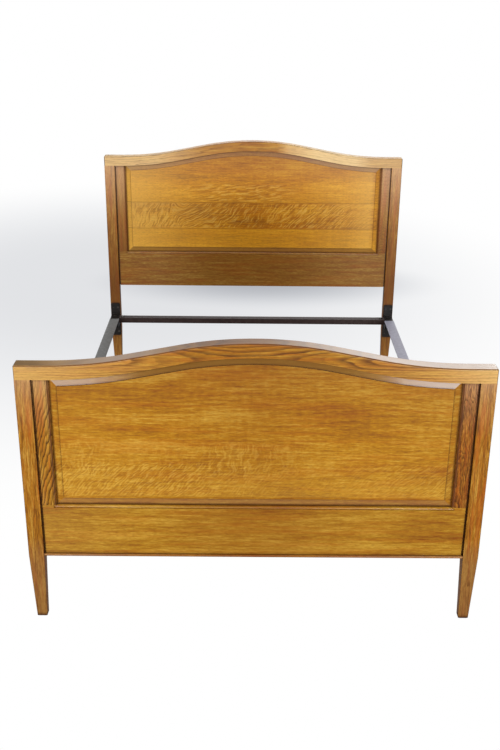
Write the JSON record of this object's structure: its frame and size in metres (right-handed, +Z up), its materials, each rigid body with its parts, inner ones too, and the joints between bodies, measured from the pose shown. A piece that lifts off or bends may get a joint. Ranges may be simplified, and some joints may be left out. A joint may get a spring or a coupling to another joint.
{
  "type": "panel bed",
  "caption": "Double bed frame with camel-back oak panel headboard and footboard on tapered legs, joined by angle irons that lift out of dovetail sockets in cast corner brackets.",
  "frame": {"origin": "on the floor, at the middle of the bed's overall width and length", "axes": "+X to the right seen from the footboard, +Y from the footboard to the headboard, +Z up"},
  "size_m": [1.4, 2.108, 1.1629],
  "materials": {
    "oak": "satin French polish",
    "quartered_oak": "satin French polish over quarter-sawn figure",
    "black_iron": "black japanned",
    "left_iron_paint": "worn grey paint",
    "right_iron_paint": "worn grey paint",
    "cross_iron_paint": "dull dark brown paint",
    "steel": "darkened steel"
  },
  "bodies": {
    "bed_ends": {"head_top_rail": "oak", "head_panel": "quartered_oak", "head_lower_rail": "oak", "head_cross_iron": "cross_iron_paint", "head_cross_bolts": "steel", "head_cross_nuts": "steel", "head_left_post": "oak", "head_left_stile": "oak", "head_left_dowels": "oak", "head_left_bracket": "black_iron", "head_left_screws": "steel", "head_right_post": "oak", "head_right_stile": "oak", "head_right_dowels": "oak", "head_right_bracket": "black_iron", "head_right_screws": "steel", "foot_top_rail": "oak", "foot_panel": "quartered_oak", "foot_lower_rail": "oak", "foot_cross_iron": "cross_iron_paint", "foot_cross_bolts": "steel", "foot_cross_nuts": "steel", "foot_left_post": "oak", "foot_left_stile": "oak", "foot_left_dowels": "oak", "foot_left_bracket": "black_iron", "foot_left_screws": "steel", "foot_right_post": "oak", "foot_right_stile": "oak", "foot_right_dowels": "oak", "foot_right_bracket": "black_iron", "foot_right_screws": "steel", "foot_bottom_bead": "oak"},
    "left_irons": {"head_left_hook": "black_iron", "head_left_rivets": "left_iron_paint", "foot_left_hook": "black_iron", "foot_left_rivets": "left_iron_paint", "left_side_iron": "left_iron_paint"},
    "right_irons": {"head_right_hook": "black_iron", "head_right_rivets": "right_iron_paint", "foot_right_hook": "black_iron", "foot_right_rivets": "right_iron_paint", "right_side_iron": "right_iron_paint"}
  },
  "joints": [
    {"name": "left_iron_lift", "type": "slide", "parent": "bed_ends", "child": "left_irons", "axis": [0, 0, 1], "range_m": [0, 0.045]},
    {"name": "right_iron_lift", "type": "slide", "parent": "bed_ends", "child": "right_irons", "axis": [0, 0, 1], "range_m": [0, 0.045]}
  ]
}
